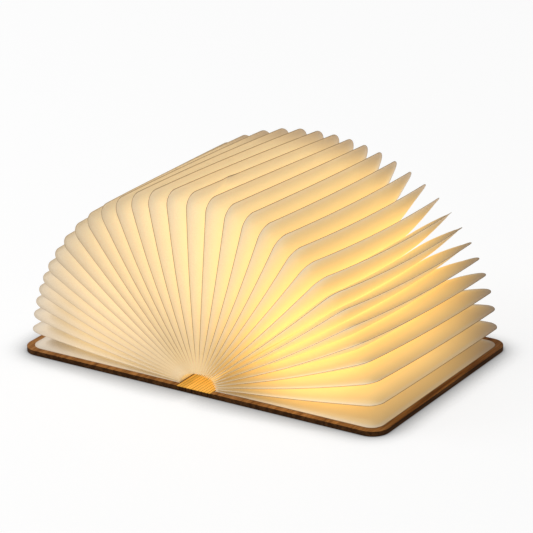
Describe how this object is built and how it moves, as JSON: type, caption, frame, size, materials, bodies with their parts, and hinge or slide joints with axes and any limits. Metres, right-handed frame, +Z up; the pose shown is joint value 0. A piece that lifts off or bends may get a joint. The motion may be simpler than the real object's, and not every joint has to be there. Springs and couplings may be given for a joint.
{
  "type": "folding book lamp",
  "caption": "Wood-covered book lamp whose sealed paper leaves fan out over a kerf-cut spine and a lit strip module as the covers open.",
  "frame": {"origin": "under the middle of the spine, on the surface that the open board lies on", "axes": "+X across the open covers to the right cover, +Y along the spine to its back end where the charging socket is, +Z up through the fan of leaves"},
  "size_m": [0.35, 0.213, 0.1691],
  "materials": {
    "walnut": "oiled walnut ply with dark laser-cut edges",
    "paper": "matte water-resistant fibre paper, translucent",
    "white_plastic": "fine matte moulded",
    "diffuser_plastic": "frosted, glowing",
    "foam_tape": "double-sided adhesive tape",
    "white_board": "white solder mask",
    "led_phosphor": "warm white phosphor",
    "cell_foil": "laminated foil pouch",
    "green_board": "green solder mask",
    "chip_plastic": "moulded epoxy",
    "socket_steel": "drawn shell",
    "lead_jacket": "silicone jacket",
    "nickel": "nickel-plated magnet"
  },
  "bodies": {
    "spine": {"slat_middle": "walnut", "leaf_16": "paper", "light_tray": "white_plastic", "diffuser": "diffuser_plastic", "mount_tape": "foam_tape", "led_board": "white_board", "leds": "led_phosphor", "battery": "cell_foil", "control_board": "green_board", "board_parts": "chip_plastic", "usb_socket": "socket_steel", "leads": "lead_jacket"},
    "slat_right_1": {"slat_right_1": "walnut"},
    "slat_right_2": {"slat_right_2": "walnut"},
    "slat_right_3": {"slat_right_3": "walnut"},
    "slat_right_4": {"slat_right_4": "walnut"},
    "slat_right_5": {"slat_right_5": "walnut"},
    "cover_right": {"cover_right": "walnut", "end_leaf_right": "paper", "magnets_right": "nickel", "sensor_magnet": "nickel"},
    "leaf_01": {"leaf_01": "paper"},
    "leaf_02": {"leaf_02": "paper"},
    "leaf_03": {"leaf_03": "paper"},
    "leaf_04": {"leaf_04": "paper"},
    "leaf_05": {"leaf_05": "paper"},
    "leaf_06": {"leaf_06": "paper"},
    "leaf_07": {"leaf_07": "paper"},
    "leaf_08": {"leaf_08": "paper"},
    "leaf_09": {"leaf_09": "paper"},
    "leaf_10": {"leaf_10": "paper"},
    "leaf_11": {"leaf_11": "paper"},
    "leaf_12": {"leaf_12": "paper"},
    "leaf_13": {"leaf_13": "paper"},
    "leaf_14": {"leaf_14": "paper"},
    "leaf_15": {"leaf_15": "paper"},
    "slat_left_1": {"slat_left_1": "walnut"},
    "slat_left_2": {"slat_left_2": "walnut"},
    "slat_left_3": {"slat_left_3": "walnut"},
    "slat_left_4": {"slat_left_4": "walnut"},
    "slat_left_5": {"slat_left_5": "walnut"},
    "cover_left": {"cover_left": "walnut", "end_leaf_left": "paper", "magnets_left": "nickel"},
    "leaf_31": {"leaf_31": "paper"},
    "leaf_30": {"leaf_30": "paper"},
    "leaf_29": {"leaf_29": "paper"},
    "leaf_28": {"leaf_28": "paper"},
    "leaf_27": {"leaf_27": "paper"},
    "leaf_26": {"leaf_26": "paper"},
    "leaf_25": {"leaf_25": "paper"},
    "leaf_24": {"leaf_24": "paper"},
    "leaf_23": {"leaf_23": "paper"},
    "leaf_22": {"leaf_22": "paper"},
    "leaf_21": {"leaf_21": "paper"},
    "leaf_20": {"leaf_20": "paper"},
    "leaf_19": {"leaf_19": "paper"},
    "leaf_18": {"leaf_18": "paper"},
    "leaf_17": {"leaf_17": "paper"}
  },
  "joints": [
    {"name": "fold_right", "type": "hinge", "parent": "spine", "child": "slat_right_1", "pos_m": [0.00154, 0, 0.002], "axis": [0, -1, 0], "range_deg": [-15, 15]},
    {"name": "fold_right_2", "type": "hinge", "parent": "slat_right_1", "child": "slat_right_2", "pos_m": [0.00461, 0, 0.002], "axis": [0, -1, 0], "range_deg": [-15, 15]},
    {"name": "fold_right_3", "type": "hinge", "parent": "slat_right_2", "child": "slat_right_3", "pos_m": [0.00769, 0, 0.002], "axis": [0, -1, 0], "range_deg": [-15, 15]},
    {"name": "fold_right_4", "type": "hinge", "parent": "slat_right_3", "child": "slat_right_4", "pos_m": [0.01076, 0, 0.002], "axis": [0, -1, 0], "range_deg": [-15, 15]},
    {"name": "fold_right_5", "type": "hinge", "parent": "slat_right_4", "child": "slat_right_5", "pos_m": [0.01384, 0, 0.002], "axis": [0, -1, 0], "range_deg": [-15, 15]},
    {"name": "fold_right_6", "type": "hinge", "parent": "slat_right_5", "child": "cover_right", "pos_m": [0.01691, 0, 0.002], "axis": [0, -1, 0], "range_deg": [-15, 15]},
    {"name": "turn_leaf_01", "type": "hinge", "parent": "slat_right_5", "child": "leaf_01", "pos_m": [0.02145, 0, 0.00318], "axis": [0, -1, 0], "range_deg": [-9.84, 9.84]},
    {"name": "turn_leaf_02", "type": "hinge", "parent": "slat_right_4", "child": "leaf_02", "pos_m": [0.01873, 0, 0.0041], "axis": [0, -1, 0], "range_deg": [-19.67, 19.67]},
    {"name": "turn_leaf_03", "type": "hinge", "parent": "slat_right_4", "child": "leaf_03", "pos_m": [0.02179, 0, 0.0064], "axis": [0, -1, 0], "range_deg": [-14.46, 14.46]},
    {"name": "turn_leaf_04", "type": "hinge", "parent": "slat_right_4", "child": "leaf_04", "pos_m": [0.02801, 0, 0.01135], "axis": [0, -1, 0], "range_deg": [-9.2, 9.2]},
    {"name": "turn_leaf_05", "type": "hinge", "parent": "slat_right_3", "child": "leaf_05", "pos_m": [0.01822, 0, 0.0087], "axis": [0, -1, 0], "range_deg": [-18.87, 18.87]},
    {"name": "turn_leaf_06", "type": "hinge", "parent": "slat_right_3", "child": "leaf_06", "pos_m": [0.02071, 0, 0.01259], "axis": [0, -1, 0], "range_deg": [-13.47, 13.47]},
    {"name": "turn_leaf_07", "type": "hinge", "parent": "slat_right_3", "child": "leaf_07", "pos_m": [0.02681, 0, 0.02135], "axis": [0, -1, 0], "range_deg": [-7.98, 7.98]},
    {"name": "turn_leaf_08", "type": "hinge", "parent": "slat_right_2", "child": "leaf_08", "pos_m": [0.01401, 0, 0.0122], "axis": [0, -1, 0], "range_deg": [-17.4, 17.4]},
    {"name": "turn_leaf_09", "type": "hinge", "parent": "slat_right_2", "child": "leaf_09", "pos_m": [0.01552, 0, 0.01701], "axis": [0, -1, 0], "range_deg": [-11.73, 11.73]},
    {"name": "turn_leaf_10", "type": "hinge", "parent": "slat_right_1", "child": "leaf_10", "pos_m": [0.00817, 0, 0.01066], "axis": [0, -1, 0], "range_deg": [-20.97, 20.97]},
    {"name": "turn_leaf_11", "type": "hinge", "parent": "slat_right_1", "child": "leaf_11", "pos_m": [0.00799, 0, 0.013], "axis": [0, -1, 0], "range_deg": [-15.12, 15.12]},
    {"name": "turn_leaf_12", "type": "hinge", "parent": "slat_right_1", "child": "leaf_12", "pos_m": [0.00837, 0, 0.018], "axis": [0, -1, 0], "range_deg": [-9.2, 9.2]},
    {"name": "turn_leaf_13", "type": "hinge", "parent": "spine", "child": "leaf_13", "pos_m": [0.0026, 0, 0.00906], "axis": [0, -1, 0], "range_deg": [-18.21, 18.21]},
    {"name": "turn_leaf_14", "type": "hinge", "parent": "spine", "child": "leaf_14", "pos_m": [0.00185, 0, 0.01023], "axis": [0, -1, 0], "range_deg": [-12.17, 12.17]},
    {"name": "turn_leaf_15", "type": "hinge", "parent": "spine", "child": "leaf_15", "pos_m": [0.0011, 0, 0.01357], "axis": [0, -1, 0], "range_deg": [-6.09, 6.09]},
    {"name": "fold_left", "type": "hinge", "parent": "spine", "child": "slat_left_1", "pos_m": [-0.00154, 0, 0.002], "axis": [0, 1, 0], "range_deg": [-15, 15]},
    {"name": "fold_left_2", "type": "hinge", "parent": "slat_left_1", "child": "slat_left_2", "pos_m": [-0.00461, 0, 0.002], "axis": [0, 1, 0], "range_deg": [-15, 15]},
    {"name": "fold_left_3", "type": "hinge", "parent": "slat_left_2", "child": "slat_left_3", "pos_m": [-0.00769, 0, 0.002], "axis": [0, 1, 0], "range_deg": [-15, 15]},
    {"name": "fold_left_4", "type": "hinge", "parent": "slat_left_3", "child": "slat_left_4", "pos_m": [-0.01076, 0, 0.002], "axis": [0, 1, 0], "range_deg": [-15, 15]},
    {"name": "fold_left_5", "type": "hinge", "parent": "slat_left_4", "child": "slat_left_5", "pos_m": [-0.01384, 0, 0.002], "axis": [0, 1, 0], "range_deg": [-15, 15]},
    {"name": "fold_left_6", "type": "hinge", "parent": "slat_left_5", "child": "cover_left", "pos_m": [-0.01691, 0, 0.002], "axis": [0, 1, 0], "range_deg": [-15, 15]},
    {"name": "turn_leaf_31", "type": "hinge", "parent": "slat_left_5", "child": "leaf_31", "pos_m": [-0.02131, 0, 0.00324], "axis": [0, 1, 0], "range_deg": [-10.16, 10.16]},
    {"name": "turn_leaf_30", "type": "hinge", "parent": "slat_left_4", "child": "leaf_30", "pos_m": [-0.01866, 0, 0.00417], "axis": [0, 1, 0], "range_deg": [-20.28, 20.28]},
    {"name": "turn_leaf_29", "type": "hinge", "parent": "slat_left_4", "child": "leaf_29", "pos_m": [-0.02145, 0, 0.00646], "axis": [0, 1, 0], "range_deg": [-15.35, 15.35]},
    {"name": "turn_leaf_28", "type": "hinge", "parent": "slat_left_4", "child": "leaf_28", "pos_m": [-0.02663, 0, 0.01101], "axis": [0, 1, 0], "range_deg": [-10.33, 10.33]},
    {"name": "turn_leaf_27", "type": "hinge", "parent": "slat_left_3", "child": "leaf_27", "pos_m": [-0.01795, 0, 0.00876], "axis": [0, 1, 0], "range_deg": [-20.2, 20.2]},
    {"name": "turn_leaf_26", "type": "hinge", "parent": "slat_left_3", "child": "leaf_26", "pos_m": [-0.01999, 0, 0.01236], "axis": [0, 1, 0], "range_deg": [-14.95, 14.95]},
    {"name": "turn_leaf_25", "type": "hinge", "parent": "slat_left_3", "child": "leaf_25", "pos_m": [-0.02449, 0, 0.01964], "axis": [0, 1, 0], "range_deg": [-9.55, 9.55]},
    {"name": "turn_leaf_24", "type": "hinge", "parent": "slat_left_2", "child": "leaf_24", "pos_m": [-0.01374, 0, 0.0122], "axis": [0, 1, 0], "range_deg": [-19, 19]},
    {"name": "turn_leaf_23", "type": "hinge", "parent": "slat_left_2", "child": "leaf_23", "pos_m": [-0.01487, 0, 0.01649], "axis": [0, 1, 0], "range_deg": [-13.3, 13.3]},
    {"name": "turn_leaf_22", "type": "hinge", "parent": "slat_left_2", "child": "leaf_22", "pos_m": [-0.01856, 0, 0.02694], "axis": [0, 1, 0], "range_deg": [-7.45, 7.45]},
    {"name": "turn_leaf_21", "type": "hinge", "parent": "slat_left_1", "child": "leaf_21", "pos_m": [-0.00789, 0, 0.01307], "axis": [0, 1, 0], "range_deg": [-16.45, 16.45]},
    {"name": "turn_leaf_20", "type": "hinge", "parent": "slat_left_1", "child": "leaf_20", "pos_m": [-0.00809, 0, 0.01758], "axis": [0, 1, 0], "range_deg": [-10.33, 10.33]},
    {"name": "turn_leaf_19", "type": "hinge", "parent": "spine", "child": "leaf_19", "pos_m": [-0.00263, 0, 0.00933], "axis": [0, 1, 0], "range_deg": [-19.1, 19.1]},
    {"name": "turn_leaf_18", "type": "hinge", "parent": "spine", "child": "leaf_18", "pos_m": [-0.00187, 0, 0.01045], "axis": [0, 1, 0], "range_deg": [-12.78, 12.78]},
    {"name": "turn_leaf_17", "type": "hinge", "parent": "spine", "child": "leaf_17", "pos_m": [-0.00111, 0, 0.01363], "axis": [0, 1, 0], "range_deg": [-6.41, 6.41]}
  ],
  "couplings": [
    {"joint": "fold_right_2", "follows": "fold_right", "ratio": 1},
    {"joint": "fold_right_3", "follows": "fold_right", "ratio": 1},
    {"joint": "fold_right_4", "follows": "fold_right", "ratio": 1},
    {"joint": "fold_right_5", "follows": "fold_right", "ratio": 1},
    {"joint": "fold_right_6", "follows": "fold_right", "ratio": 1},
    {"joint": "turn_leaf_01", "follows": "fold_right", "ratio": 0.65621},
    {"joint": "turn_leaf_02", "follows": "fold_right", "ratio": 1.3112},
    {"joint": "turn_leaf_03", "follows": "fold_right", "ratio": 0.96389},
    {"joint": "turn_leaf_04", "follows": "fold_right", "ratio": 0.61314},
    {"joint": "turn_leaf_05", "follows": "fold_right", "ratio": 1.258},
    {"joint": "turn_leaf_06", "follows": "fold_right", "ratio": 0.89782},
    {"joint": "turn_leaf_07", "follows": "fold_right", "ratio": 0.53193},
    {"joint": "turn_leaf_08", "follows": "fold_right", "ratio": 1.16},
    {"joint": "turn_leaf_09", "follows": "fold_right", "ratio": 0.78193},
    {"joint": "turn_leaf_10", "follows": "fold_right", "ratio": 1.3978},
    {"joint": "turn_leaf_11", "follows": "fold_right", "ratio": 1.008},
    {"joint": "turn_leaf_12", "follows": "fold_right", "ratio": 0.61314},
    {"joint": "turn_leaf_13", "follows": "fold_right", "ratio": 1.2139},
    {"joint": "turn_leaf_14", "follows": "fold_right", "ratio": 0.81123},
    {"joint": "turn_leaf_15", "follows": "fold_right", "ratio": 0.40621},
    {"joint": "fold_left_2", "follows": "fold_left", "ratio": 1},
    {"joint": "fold_left_3", "follows": "fold_left", "ratio": 1},
    {"joint": "fold_left_4", "follows": "fold_left", "ratio": 1},
    {"joint": "fold_left_5", "follows": "fold_left", "ratio": 1},
    {"joint": "fold_left_6", "follows": "fold_left", "ratio": 1},
    {"joint": "turn_leaf_31", "follows": "fold_left", "ratio": 0.67702},
    {"joint": "turn_leaf_30", "follows": "fold_left", "ratio": 1.352},
    {"joint": "turn_leaf_29", "follows": "fold_left", "ratio": 1.0232},
    {"joint": "turn_leaf_28", "follows": "fold_left", "ratio": 0.68856},
    {"joint": "turn_leaf_27", "follows": "fold_left", "ratio": 1.3467},
    {"joint": "turn_leaf_26", "follows": "fold_left", "ratio": 0.99637},
    {"joint": "turn_leaf_25", "follows": "fold_left", "ratio": 0.63654},
    {"joint": "turn_leaf_24", "follows": "fold_left", "ratio": 1.2667},
    {"joint": "turn_leaf_23", "follows": "fold_left", "ratio": 0.88654},
    {"joint": "turn_leaf_22", "follows": "fold_left", "ratio": 0.49637},
    {"joint": "turn_leaf_21", "follows": "fold_left", "ratio": 1.0967},
    {"joint": "turn_leaf_20", "follows": "fold_left", "ratio": 0.68856},
    {"joint": "turn_leaf_19", "follows": "fold_left", "ratio": 1.2732},
    {"joint": "turn_leaf_18", "follows": "fold_left", "ratio": 0.85205},
    {"joint": "turn_leaf_17", "follows": "fold_left", "ratio": 0.42702}
  ]
}
